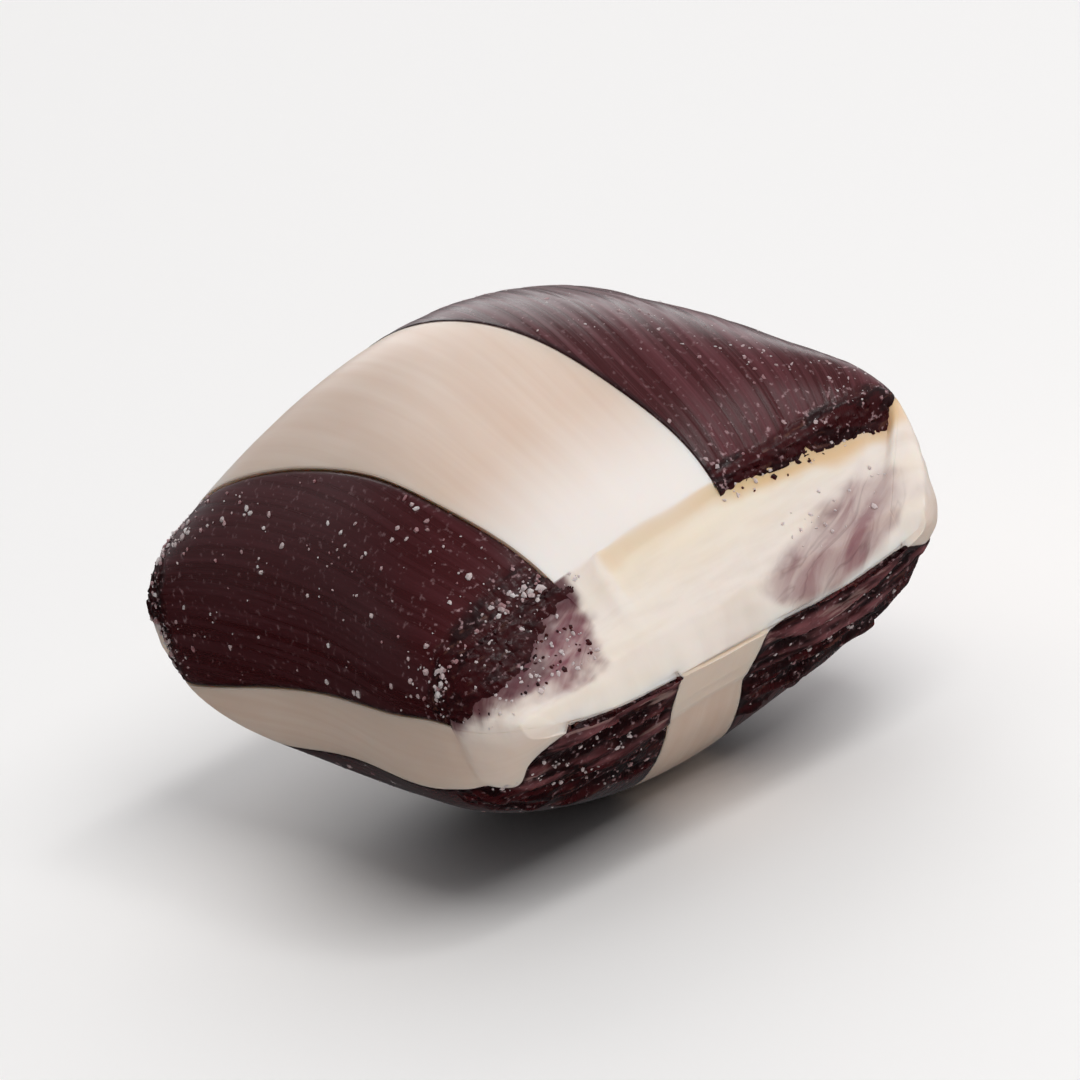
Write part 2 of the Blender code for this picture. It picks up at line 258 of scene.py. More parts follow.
def place(station, x, turn, depth):
    """Places in millimetres, sunk by depth below the rope's surface."""
    nose = nose_at(station)
    before_edge = (TIP_X - CREASE_X) * (2.0 - np.abs(station))
    from_edge = np.where(nose > 0.0, NOSE_LENGTH * nose, before_edge)
    upper_worn = SOFT_EDGE[0] * hump(from_edge, SOFT_EDGE[1])
    lower_worn = SOFT_LOWER_EDGE[0] * hump(from_edge, SOFT_LOWER_EDGE[1])
    length = np.where(np.abs(station) < 1.0, CREASE_X, WORN_LIP_LENGTH)
    crease_worn = SOFT_CREASE[0] * hump((np.abs(station) - 1.0) * length, SOFT_CREASE[1])
    upper = upper_side(turn)
    worn = lower_worn + (upper_worn - lower_worn) * upper + crease_worn * (1.0 - upper)
    sunk = depth + worn - swell(x, turn)
    y, z, inward_y, inward_z = rope.read(x, turn)
    y, z = y + sunk * inward_y, z + sunk * inward_z
    core = TIP_HALF_WIDTH - (TIP_RISE + TIP_DROP) / 2.0
    middle_y = np.clip(y, -core, core)
    side = np.sign(station)
    middle_x = side * (TIP_X - 0.2 * TIP_SLANT) + 0.6 * TIP_RAG * ragged(middle_y / 20.0, 5)
    x = x + (1.0 - (1.0 - nose) ** 1.5) * (middle_x - x)
    x = x + side * NOSE_BULGE * (1.0 - (1.0 - nose) ** 2)
    y = y + nose * (middle_y - y)
    level = NOSE_END_LEVEL + (NOSE_LEVEL - NOSE_END_LEVEL) * (1.0 - np.abs(middle_y / core) ** 4)
    z = z + nose * (level - z)
    return np.stack((x, y, np.maximum(z, rope.floor) - rope.floor), axis=-1)


def skin(station):
    """Thickness of a dark stripe."""
    t = np.minimum(np.abs(station), 1.0)
    return MID_SKIN - (MID_SKIN - CREASE_SKIN) * t**2 - (CREASE_SKIN - TIP_SKIN) * lip_at(station)


def middle_turn(number):
    """A border's turn at the middle of the rope. Numbers past the last go round again."""
    turns = np.array(BORDERS)[:, 0]
    return turns[number % len(BORDERS)] + number // len(BORDERS)


def border(number, x, station):
    """A border's turn at x. It winds with the rope, and the lower ones spread on the lips."""
    _, extra, tip = np.moveaxis(np.array(BORDERS)[number % len(BORDERS)], -1, 0)
    quarter = math.pi / 2.0
    wound = middle_turn(number) - TWIST * x
    wound = wound - extra * np.sin(quarter * np.clip(x / CREASE_X, -1.0, 1.0))
    whole = np.array([stripe[1] for stripe in STRIPES])[number % len(BORDERS) // 2]
    lip = lip_at(station)
    pushed = JOG * hump(lip - 0.2, 0.3) * smooth(lip / 0.15)
    jog = np.where(number % len(BORDERS) == JOGGED_BORDER, pushed, 0.0)
    return np.where(whole, wound + lip * (tip - wound) + jog, wound)


def between_borders(number, way, station, inset):
    """x and turn part of the way from a border to the next, once both are moved in by an inset,
    and the distances from the borders themselves."""
    first, last = middle_turn(number), middle_turn(number + 1)
    x = along_rope(station, first + (last - first) * way - TWIST * CREASE_X * station)
    first, last = border(number, x, station), border(number + 1, x, station)
    girth = rope.girth_at(x)
    inset = inset / girth
    turn = first + inset + (last - first - 2.0 * inset) * way
    return x, turn, (turn - first) * girth, (last - turn) * girth


def rounded(distance, radius):
    """How far an edge of this radius has dropped at this distance in from it."""
    short = np.clip(radius - distance, 0.0, radius)
    return radius - np.sqrt(radius**2 - short**2)


def rope_places(x, turn):
    """The same places on the round rope before pinching, where its fibres run along x."""
    angle = 2.0 * math.pi * turn
    return np.stack((x, ROPE_RADIUS * np.cos(angle), ROPE_RADIUS * np.sin(angle)), axis=-1)


def soft_noise(places, size, seed):
    """Noise from about -1 to 1, in blobs of this size in millimetres."""
    moved = (places / np.array(size) + 17.3 * seed).reshape(-1, 3)
    return np.array([noise.noise(p) for p in moved.tolist()]).reshape(places.shape[:-1])


def facet_noise(places, size, seed):
    """Broken sugar: flat facets of this size, each with a height and a tilt of its own."""
    moved = (places / np.array(size) + 11.7 * seed).reshape(-1, 3)
    centres = np.array([noise.voronoi(p)[1][0] for p in moved.tolist()])
    spins = np.array(((12.98, 78.23, 37.71), (39.34, 11.13, 83.15), (73.15, 52.23, 9.15)))
    tilt = (np.sin(centres @ spins) * 4375.8) % 2.0 - 1.0
    height = (np.sin(centres @ (27.1, 61.7, 12.9)) * 5371.3) % 2.0 - 1.0
    relief = 0.6 * height + 1.2 * ((moved - centres) * tilt).sum(axis=-1)
    return relief.reshape(places.shape[:-1])


def rows_along(count, even, lip_rows, nose_rows):
    """Stations for the rows of a mesh. This share of the spacing from crease to crease is even,
    and the rest gets closer towards the creases."""
    way = np.linspace(-1.0, 1.0, count)
    body = even * way + (1.0 - even) * np.sin(way * math.pi / 2.0)
    lip = 1.0 + np.linspace(0.0, 1.0, lip_rows + 1)[1:]
    nose = 2.0 + np.linspace(0.0, 0.985, nose_rows + 1)[1:]
    end = np.concatenate((lip, nose))
    return np.concatenate((-end[::-1], body, end))


def spaced(width, spacing, fine):
    """Ways from 0 to 1 across a width: these fine steps at each edge, then even ones."""
    inner = max(2, round((width - 2.0 * fine[-1]) / spacing))
    middle = np.linspace(fine[-1], width - fine[-1], inner + 1)
    far = [width - step for step in reversed(fine[:-1])]
    return np.concatenate((fine[:-1], middle, far)) / width


def new_piece(name, places, faces, material, smooth_angle, fields):
    """A closed mesh from places in millimetres, with its number fields, that rides along."""
    centred = (places.reshape(-1, 3) - pillow_shift) * MM
    mesh = bpy.data.meshes.new(name)
    mesh.from_pydata(centred.tolist(), [], faces)
    for field, values in fields.items():
        kind, key = ("FLOAT_VECTOR", "vector") if values.ndim == places.ndim else ("FLOAT", "value")
        layer = mesh.attributes.new(field, kind, "POINT")
        layer.data.foreach_set(key, values.astype(np.float32).ravel())
    data = bmesh.new()
    data.from_mesh(mesh)
    bmesh.ops.remove_doubles(data, verts=data.verts, dist=1e-8)
    bmesh.ops.recalc_face_normals(data, faces=data.faces)
    data.to_mesh(mesh)
    data.free()
    mesh.shade_smooth()
    mesh.set_sharp_from_angle(angle=math.radians(smooth_angle))
    mesh.materials.append(material)
    piece = bpy.data.objects.new(name, mesh)
    bpy.context.scene.collection.objects.link(piece)
    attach(piece, "root")
    return piece


def linear(code):
    """An sRGB hex colour as the linear one that Blender works in."""
    parts = [int(code[k : k + 2], 16) / 255.0 for k in (0, 2, 4)]
    return [c / 12.92 if c <= 0.04045 else ((c + 0.055) / 1.055) ** 2.4 for c in parts] + [1.0]


def add(material, kind, inputs=(), **settings):
    """Adds a node with its settings. An input is a value, or another node's output."""
    node = material.node_tree.nodes.new("ShaderNode" + kind)
    for name, value in settings.items():
        setattr(node, name, value)
    for socket, value in dict(inputs).items():
        if isinstance(value, bpy.types.NodeSocket):
            material.node_tree.links.new(value, node.inputs[socket])
        else:
            node.inputs[socket].default_value = value
    return node


def new_material(name):
    """An empty material."""
    material = bpy.data.materials.new(name)
    material.use_nodes = True
    material.node_tree.nodes.clear()
    return material


def soft_spots(material, places, scale, detail, distortion=0.0):
    """Noise from 0 to 1, in spots about 1 / scale long each way."""
    scaled = add(material, "Mapping", {0: places, 3: scale})
    settings = {0: scaled.outputs[0], "Scale": 1.0, "Detail": detail, "Distortion": distortion}
    return add(material, "TexNoise", settings).outputs[0]


def tinted(material, colour, tint, field=None, spots=None, span=(0.0, 1.0), shares=(0.0, 1.0)):
    """A colour with a tint over it, by as much as a field of the mesh says. Spots make it
    patchy: where they go through the span, it goes from the first share to the last."""
    share = add(material, "Attribute", attribute_name=field).outputs["Fac"] if field else 1.0
    if spots is not None:
        ranged = {0: spots, 1: span[0], 2: span[1], 3: shares[0], 4: shares[1]}
        patchy = add(material, "MapRange", ranged).outputs[0]
        product = add(material, "Math", {0: share, 1: patchy}, operation="MULTIPLY")
        share = product.outputs[0]
    mixed = add(material, "Mix", {0: share, 6: colour, 7: linear(tint)}, data_type="RGBA")
    return mixed.outputs[2]


def finish(material, inputs):
    """Ends a material with its shader."""
    shader = add(material, "BsdfPrincipled", inputs)
    add(material, "OutputMaterial", {"Surface": shader.outputs[0]})


SATIN_IVORY = "e1ccbc"
SATIN_CREAM = "d8bdaa"
# painted light, and a painted highlight, on the white sugar
PAINTED_LIGHT_WHITE = "f0e8e2"
PINCH_IVORY = "eee4db"
STRAND_GREY = "cdb9aa"
MAUVE = "7f464f"
MAROON_STAIN = "4a1c24"
TAN = "dcae70"
TORN_CREAM = "efdfc2"

# Pulled sugar has the index of sugar glass. Its air bubbles scatter light a millimetre or
# so, which makes it soft and ivory, and its fibres give a satin gloss with faint streaks.
white_sugar = new_material("white_sugar_pulled_satin")
# Scales are per millimetre: streaks 8 mm by 0.4, and blotches 4 mm by 2, run along the rope.
fibres = add(white_sugar, "Attribute", attribute_name="rope").outputs["Vector"]
streaks = soft_spots(white_sugar, fibres, (0.12, 2.6, 2.6), 3.0)
blotches = soft_spots(white_sugar, fibres, (0.25, 0.5, 0.5), 2.0)
# Torn sugar shows grey strands 0.3 mm wide along a lip. Dragged sugar shows swirls 0.5 mm
# wide, and veins a millimetre apart.
dragged = add(white_sugar, "Attribute", attribute_name="drawn").outputs["Vector"]
strands = soft_spots(white_sugar, fibres, (3.2, 0.3, 0.3), 4.0)
swirls = soft_spots(white_sugar, dragged, (1.9, 0.6, 1.0), 5.0, 0.7)
veins = soft_spots(white_sugar, dragged, (0.9, 0.28, 1.0), 3.0, 1.4)
off_vein = add(white_sugar, "Math", {0: veins, 1: 0.5}, operation="SUBTRACT")
off_vein = add(white_sugar, "Math", {0: off_vein.outputs[0]}, operation="ABSOLUTE")
colour = linear(SATIN_IVORY)
for layer in (
    (SATIN_CREAM, None, streaks, (0.35, 0.7), (0.0, 0.6)),
    (SATIN_CREAM, None, blotches, (0.4, 0.75), (0.0, 0.5)),
    # painted light towards the creases and on the lower white band's lip, and a painted highlight on
    # the fold's crest
    (PAINTED_LIGHT_WHITE, "painted_light"),
    (PINCH_IVORY, "pinched"),
    (STRAND_GREY, "stranded", strands, (0.48, 0.70), (0.0, 0.26)),
    (TORN_CREAM, "cream"),
    # tan under the torn edges, and painted shade with warm reflected light on the white between the
    # lower stripes
    (TAN, "tan"),
    (MAUVE, "mauve", swirls, (0.36, 0.60), (0.64, 1.0)),
    (MAROON_STAIN, "mauve", off_vein.outputs[0], (0.0, 0.045), (0.38, 0.0)),
    (MAROON_STAIN, "stain"),
):
    colour = tinted(white_sugar, colour, *layer)
stained = add(white_sugar, "Attribute", attribute_name="stain")
gloss = add(white_sugar, "MapRange", {0: streaks, 3: 0.30, 4: 0.46})
clear = add(white_sugar, "MapRange", {0: stained.outputs["Fac"], 3: 0.4, 4: 0.1})
grain = add(white_sugar, "Bump", {"Strength": 0.12, "Distance": 0.00003, "Height": streaks})
finish(
    white_sugar,
    {
        "Base Color": colour,
        "Roughness": gloss.outputs[0],
        "IOR": 1.5,
        "Normal": grain.outputs[0],
        "Subsurface Weight": clear.outputs[0],
        "Subsurface Radius": (1.0, 0.62, 0.42),
        "Subsurface Scale": 0.0009,
    },
)

SEAM = 0.03  # width of the fine joint between white and dark sugar
WALL_DRAFT = 0.1  # how far the side walls of a channel lean in
BAND_EDGE = 0.06  # radius of a white stripe's edges
RIM_THICKNESS = 0.26  # of the lower dark stripes, where they end at a tip
LOWER_BAND = 5  # the border before the white band between those two
# How deep the blades tore the upper side off at a crease, as (turn, depth).
TORN_DEPTH = (
    (0.0, 0.5), (0.05, 0.70), (0.068, 0.74), (0.095, 0.46), (0.14, 0.32), (0.18, 0.24),
    (0.217, 0.20), (0.235, 0.30), (0.30, 0.34), (0.314, 0.28), (0.324, 0.05), (0.336, 0.0),
    (0.348, 0.08), (0.40, 0.14), (0.50, 0.14), (0.53, 0.12), (1.0, 0.5),
)
# Kinds of column: the floor of a channel under a lower or an upper dark stripe, and a white
# stripe at a side or on top.
WHOLE_FLOOR, TORN_FLOOR, SIDE_BAND, TOP_BAND = range(4)


def torn_depth(station, turn):
    """How far below the rope's surface the torn upper side of a lip lies."""
    at, depths = zip(*TORN_DEPTH)
    return np.interp(turn % 1.0, at, depths) * (1.0 - lip_at(station)) ** 1.6


def white_columns():
    """The body's section, a column at a time, as arrays: the border before a column, its way
    from there to the next border, and its kind."""
    columns = []
    girth = rope.girth_at(CREASE_X)
    for index, (_, whole, *_) in enumerate(STRIPES):
        _, next_whole, *_ = STRIPES[(index + 1) % len(STRIPES)]
        floor, floor_spacing = (WHOLE_FLOOR, 0.4) if whole else (TORN_FLOOR, 0.11)
        band = SIDE_BAND if whole or next_whole else TOP_BAND
        for number, kind, spacing, fine in (
            (2 * index, floor, floor_spacing, (0.01, 0.1, 0.2)),
            (2 * index + 1, band, 0.095, (0.0, 0.012, 0.035, 0.075)),
        ):
            width = (middle_turn(number + 1) - middle_turn(number)) * girth
            columns += [(number, way, kind) for way in spaced(width, spacing, fine)]
    return [np.array(column) for column in zip(*columns)]


number, way, kind = white_columns()
station, number = np.meshgrid(rows_along(129, 0.45, 45, 15), number, indexing="ij")
way, kind = (np.broadcast_to(values, station.shape) for values in (way, kind))
lip, nose, torn = lip_at(station), nose_at(station), kind == TORN_FLOOR
inset = np.where(kind >= SIDE_BAND, SEAM, -SEAM) / 2.0
x, turn, from_first, from_last = between_borders(number, way, station, inset)
around = turn % 1.0
from_edge = np.minimum(from_first, from_last)

# The step off the upper white stripe is steep next to the right dark stripe, and softer
# further left. The torn lips run out into the side stripes next to them.
run_out = np.interp(around, (0.2, 0.3, 0.33, 0.36), (0.06, 0.12, 0.3, 0.45))
step = smooth(lip / run_out)
beside_side_band = np.where(number == 0, from_first, from_last)
torn_lip = torn_depth(station, turn)
band_depth = rounded(from_edge, BAND_EDGE) * (1.0 - nose)
top_band_depth = band_depth * (1.0 - smooth(lip / 0.15)) + torn_lip * step
sunk_tip = RIM_THICKNESS * (1.0 - nose)
floor_depth = sunk_tip + (skin(station) + GAP - sunk_tip) * (1.0 - smooth((lip - 0.7) / 0.3))
whole_depth = floor_depth * np.clip(from_edge / WALL_DRAFT, 0.0, 1.0)
torn_floor_depth = np.where(lip > 0.0, torn_lip * smooth(beside_side_band / 0.5), whole_depth)
depth = np.choose(kind, (whole_depth, torn_floor_depth, band_depth, top_band_depth))

upper = upper_side(turn) * (kind != WHOLE_FLOOR)
on_lip = (lip > 0.0) * upper
flat = rope_places(x, turn)
raw = place(station, x, turn, depth)
pinch_fibres = soft_noise(raw, (0.25, 4.0, 0.25), 1)
broad_waves = soft_noise(raw, (0.9, 2.6, 0.9), 2)
satin_waves = soft_noise(flat, (7.0, 1.1, 1.1), 3)
torn_edge = smooth(lip / 0.02) * smooth(1.0 - lip / 0.16) * upper
broken = facet_noise(raw, (0.22, 0.30, 0.22), 4)
lip_strands = soft_noise(raw, (0.55, 3.2, 0.55), 16)
lip_relief = 0.012 * pinch_fibres + 0.03 * broad_waves + 0.05 * lip_strands
relief = (1.0 - lip) * 0.008 * satin_waves + smooth(lip / 0.3) * lip_relief
relief = relief + 0.022 * torn_edge * broken * torn
# A low fold of white sugar bounds the torn hollow at its left.
fold_turn = np.interp(lip, (0.0, 0.2, 0.7), (0.319, 0.327, 0.330))
fold = hump(around - fold_turn, 0.0065) * smooth(lip / 0.05) * smooth(1.1 - lip)
relief = relief + 0.15 * fold
smeared = smooth((around - 0.35) / 0.02) * smooth((0.5 - around) / 0.02) * smooth(1.2 - lip)
relief = relief + 0.03 * smeared * on_lip * facet_noise(raw, (0.24, 0.34, 0.24), 14)
x_relief = 0.03 * smooth(nose / 0.3) * soft_noise(raw, (0.5, 1.0, 0.5), 5)
under_rim = (kind == WHOLE_FLOOR) * smooth((from_edge - 0.15) / 0.25)
x_relief = x_relief - 0.13 * under_rim * (lip >= 1.0) * (1.0 - nose)
depth = depth - relief * (1.0 - nose)
places = place(station, x, turn, depth)
places[..., 0] += np.sign(station) * x_relief

# Thin dark sugar was smeared over the upper lip, where it shows mauve: at the left next to
# the thicker film there, out to these places along the lip, and in blotches at the right.
along_lip = lip + 0.8 * nose
film_at = (0.338, 0.344, 0.352, 0.366, 0.38, 0.397, 0.42, 0.438, 0.452, 0.47, 0.48, 0.493, 0.50)
film_reach = (-0.1, 0.18, 0.20, 0.20, 0.23, 0.30, 0.47, 0.62, 0.60, 0.48, 0.36, 0.12, -0.3)
thin_at = (0.322, 0.340, 0.350, 0.358, 0.368, 0.38, 0.42, 0.452, 0.48, 0.495, 0.51, 0.53)
thin_reach = (-0.6, -0.5, 0.10, 0.50, 0.78, 0.98, 1.0, 0.88, 0.62, 0.30, 0.0, -0.6)
patchy = 0.15 * soft_noise(raw, (0.45, 0.7, 0.45), 7) + 0.07 * soft_noise(raw, (0.18, 0.3, 0.18), 8)
fine_patches = soft_noise(raw, (0.20, 0.40, 0.20), 9)
thin = smooth((np.interp(around, thin_at, thin_reach) + patchy - along_lip) / 0.5 + 0.35) * on_lip
thin = thin * smooth(0.95 + 0.45 * fine_patches)
stain = smooth((np.interp(around, film_at, film_reach) + 0.14 + patchy - along_lip) / 0.42 + 0.5)
stain = stain * on_lip * smooth((around - 0.345) / 0.010)
smear_at = (0.035, 0.05, 0.075, 0.10, 0.13, 0.157, 0.19, 0.212)
smear_from = np.interp(around, smear_at, (0.72, 0.58, 0.40, 0.38, 0.48, 0.64, 0.80, 1.0))
smear_to = np.interp(around, smear_at, (1.1, 1.5, 1.7, 1.8, 1.9, 1.9, 1.8, 1.3))
smear_share = np.interp(around, smear_at, (0.4, 0.8, 0.95, 1.0, 1.0, 0.90, 0.55, 0.0))
stray = 0.12 * soft_noise(raw, (0.5, 0.9, 0.5), 15)
smear = smooth((along_lip - smear_from + stray) / 0.30) * smooth((smear_to - along_lip + stray) / 0.3)
blotchy = soft_noise(raw, (0.9, 1.6, 0.9), 10)
smear = smear * smear_share * on_lip * (0.55 + 0.45 * smooth(0.6 + 0.9 * blotchy))
# The smears were drawn down across the lips at this angle, so their swirls run that way.
drag = math.radians(35.0)
down = LIP_LENGTH * lip + NOSE_LENGTH * nose
drawn = np.stack(
    (
        raw[..., 1] * math.sin(drag) + down * math.cos(drag),
        raw[..., 1] * math.cos(drag) - down * math.sin(drag),
        9.0 * np.sign(station),  # so that the two ends' swirls differ
    ),
    axis=-1,
)

# Under the torn edges the white glows tan: in a line along the dark stripe's foot, and in a
# wider slope under the upper white stripe, as far as the fold.
tan_at = (0.04, 0.06, 0.20, 0.222, 0.26, 0.30, 0.319, 0.324)
tan_wide = np.interp(around, tan_at, (0.12, 0.20, 0.17, 0.12, 0.14, 0.19, 0.22, 0.22))
tan_wide = tan_wide * (1.0 + 0.35 * soft_noise(raw, (1.0, 0.8, 1.0), 6))
tan_start = np.interp(around, tan_at, (0.15, 0.20, 0.08, 0.05, 0.05, 0.05, 0.05, 0.05))
tan_share = np.interp(around, tan_at, (0.0, 0.75, 0.80, 0.40, 0.20, 0.24, 0.28, 0.0))
tan_band = smooth(1.15 - (lip - tan_start) / tan_wide) * smooth(lip / 0.02) * tan_share * on_lip
tan_band = tan_band * smooth(0.95 + 0.35 * soft_noise(raw, (0.3, 0.9, 0.3), 12))
hollow = smooth((0.322 - around) / 0.006) * smooth((around - 0.12) / 0.10)
hollow = hollow * smooth(lip / 0.05) * smooth(1.2 - lip / 0.75) * on_lip
# Painted light: the upper white stripe is painted lighter towards the creases, where the lamp
# falls on it most, and the fold's crest as light, as a painted highlight. The white between the
# two lower stripes is painted lighter on its lip, and warmer tan there and on its tip face, as
# painted shade with warm reflected light.
painted_end_light = smooth((np.abs(station) - 0.58) / 0.4) * (1.0 - smooth(lip / 0.1)) * (kind == TOP_BAND)
painted_fold_highlight = hump(around - fold_turn - 0.004, 0.010) * smooth(1.0 - lip / 0.6) * on_lip
pale_side = np.maximum(upper_side(turn), 0.35 * smooth(nose / 0.25))
painted_lower_shade = 0.24 * smooth((lip + 0.05) / 0.3) + 0.10 * smooth(nose / 0.2)
is_lower_band = number == LOWER_BAND
painted_light = np.where(is_lower_band, 0.6 * smooth(lip / 0.2), np.maximum(painted_end_light, 0.8 * painted_fold_highlight))
fields = {
    "rope": flat,
    "drawn": drawn,
    "painted_light": painted_light,
    "pinched": smooth(lip / 0.1) * (0.25 + 0.65 * pale_side) * (1.0 - 0.8 * painted_fold_highlight),
    "cream": np.clip(0.45 * hollow + 0.16 * on_lip * smooth(0.3 + 1.5 * lip_strands), 0.0, 0.8),
    "stranded": smooth((lip - 0.10) / 0.15) * on_lip,
    "tan": np.where(is_lower_band, painted_lower_shade, tan_band),
    "mauve": np.clip(0.90 * smear + 1.15 * thin, 0.0, 1.0),
    "stain": 0.85 * stain,
}

rows, columns = station.shape
index = np.arange(rows * columns).reshape(rows, columns)
right = np.roll(index, -1, axis=1)
faces = np.stack((index[:-1], right[:-1], right[1:], index[1:]), axis=-1).reshape(-1, 4).tolist()
faces += [index[0].tolist(), index[-1].tolist()]
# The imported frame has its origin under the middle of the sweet's box.
box_station, box_turn = np.meshgrid(np.linspace(-2.0, 2.0, 81), np.linspace(0.0, 1.0, 721))
box = place(box_station, along_rope(box_station, box_turn), box_turn, 0.0).reshape(-1, 3)
pillow_shift = (box.min(axis=0) + box.max(axis=0)) / 2.0 * (0.0, 1.0, 0.0)
white_body = new_piece("white_pulled_sugar_body", places, faces, white_sugar, 50.0, fields)
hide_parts("white_body")

# ------------------------ dark sugar stripes
# Four strips of dark brown boiled sugar were laid along the rope and pulled thin with it, so
# they are glassy, with fine ribs. The blades tore the upper two off at the creases, and
# crushed the lower two against the tips.

DARK_SUGAR = "3e0e11"
DARK_RIB = "65343a"
CRACKED_BROWN = "603a30"
# black of the cracks, and of painted shade
CRACK_AND_SHADE_BLACK = "1c0709"
CRUSHED_MAUVE_AND_PAINTED_LIGHT = "94595d"
PAINTED_GLINT_GREY = "b3948c"
SUGAR_POWDER = "b08f92"

# Unpulled boiled sugar is clear glass with colour in it: deep maroon, with a sharp gloss that
# ribs and powder break up. Where it cracked, its thin splinters let a brown glow through.
dark_sugar = new_material("dark_sugar_glassy_ribbed")
fibres = add(dark_sugar, "Attribute", attribute_name="rope").outputs["Vector"]
where = add(dark_sugar, "TexCoord").outputs["Object"]
ribs = soft_spots(dark_sugar, fibres, (0.08, 4.2, 4.2), 5.0)  # 0.25 mm wide
colour = tinted(dark_sugar, linear(DARK_SUGAR), DARK_RIB, "ribbed", ribs, (0.42, 0.72))
# Cracks, splinters, the crushed ends' mauve and painted glints on the crushed ridges run along
# the pinch. Scales are per metre: they are 0.2 to 0.4 mm wide and 0.7 to 2.4 mm long. Spots of
# powder are 0.2 mm across.
for tint, field, scale, span, most in (
    (CRACK_AND_SHADE_BLACK, "cracked", (2600, 900, 2600), (0.47, 0.57), 0.85),
    (CRACKED_BROWN, "cracked", (5600, 1500, 5600), (0.60, 0.70), 0.85),
    # partly the crushed sugar's paler tone, partly painted light from warm bounce on the ridge crests
    (CRUSHED_MAUVE_AND_PAINTED_LIGHT, "crushed", (2300, 620, 2300), (0.38, 0.62), 0.72),
    # painted glints on the crests of the crushed ridges
    (PAINTED_GLINT_GREY, "crushed", (2300, 420, 2300), (0.58, 0.65), 0.60),
):
    spots = soft_spots(dark_sugar, where, scale, 3.0)
    colour = tinted(dark_sugar, colour, tint, field, spots, span, (0.0, most))
# painted shade: darker along the stripes' sides under the white's edge, in the crushed ridges'
# valleys, over cracked zones and on torn end faces
colour = tinted(dark_sugar, colour, CRACK_AND_SHADE_BLACK, "shade")
powder = soft_spots(dark_sugar, where, (5200, 5200, 5200), 4.0)
colour = tinted(dark_sugar, colour, SUGAR_POWDER, "dust", powder, (0.60, 0.74))
crushed = add(dark_sugar, "Attribute", attribute_name="crushed")
rib_gloss = add(dark_sugar, "MapRange", {0: ribs, 1: 0.3, 2: 0.7, 3: 0.22, 4: 0.36})
gloss = add(dark_sugar, "Mix", {0: crushed.outputs["Fac"], 2: rib_gloss.outputs[0], 3: 0.5})
grain = add(dark_sugar, "Bump", {"Strength": 0.55, "Distance": 0.00003, "Height": ribs})
finish(
    dark_sugar,
    {
        "Base Color": colour,
        "Roughness": gloss.outputs[0],
        "IOR": 1.52,
        "Specular IOR Level": 0.22,
        "Normal": grain.outputs[0],
        "Subsurface Weight": 0.12,
        "Subsurface Radius": (1.0, 0.35, 0.25),
        "Subsurface Scale": 0.0004,
    },
)

INNER_STEP = 12  # the hidden inner side takes every twelfth row and column
END_ROWS = 12  # rows down the torn end of a stripe
SIDE_COLUMNS = 4  # columns down each of its sides
EDGE_WAYS = (0.0, 0.02, 0.05, 0.09, 0.14, 0.2)  # of the columns next to its sides
WRAP = 0.95  # how far a lower stripe's end goes down the nose
CORNER_WRAP = 0.03  # and how far at its corners
TORN_END_EDGE = 0.05  # radius of the edge of a torn end


def lid_grid(rows, columns, end_rows, side_columns):
    """A thin closed piece: a fine grid that turns down at its ends and sides, closed underneath
    by a coarse grid. Gives its faces, each point's row and column, and what is underneath."""
    fine = np.arange(rows * columns).reshape(rows, columns)
    faces = np.stack((fine[:-1, :-1], fine[:-1, 1:], fine[1:, 1:], fine[1:, :-1]), axis=-1)
    faces = faces.reshape(-1, 4).tolist()
    across, along = (
        [0, *range(wall + INNER_STEP, count - 1 - wall - 3, INNER_STEP), count - 1]
        for count, wall in ((rows, end_rows), (columns, side_columns))
    )
    inner = {}

    def corner(r, c):
        if r in (0, rows - 1) or c in (0, columns - 1):
            return int(fine[r, c])
        return inner.setdefault((r, c), rows * columns + len(inner))

    def side(start, end):
        """A coarse face's side up to its end, with all the fine points if it is on the rim."""
        (r0, c0), (r1, c1) = start, end
        on_rim = (r0 == r1 and r0 in (0, rows - 1)) or (c0 == c1 and c0 in (0, columns - 1))
        steps = max(abs(r1 - r0), abs(c1 - c0)) if on_rim else 1
        passed = [(r0 + (r1 - r0) * k // steps, c0 + (c1 - c0) * k // steps) for k in range(1, steps)]
        return [corner(r0, c0)] + [int(fine[point]) for point in passed]

    for r0, r1 in zip(across[:-1], across[1:]):
        for c0, c1 in zip(along[:-1], along[1:]):
            corners = ((r0, c0), (r1, c0), (r1, c1), (r0, c1))
            sides = [side(*ends) for ends in zip(corners, corners[1:] + corners[:1])]
            faces.append([point for points in sides for point in points])
    row, column = np.divmod(np.arange(rows * columns), columns)
    row, column = (np.append(*both) for both in zip((row, column), zip(*inner)))
    return faces, row, column, np.arange(len(row)) >= rows * columns


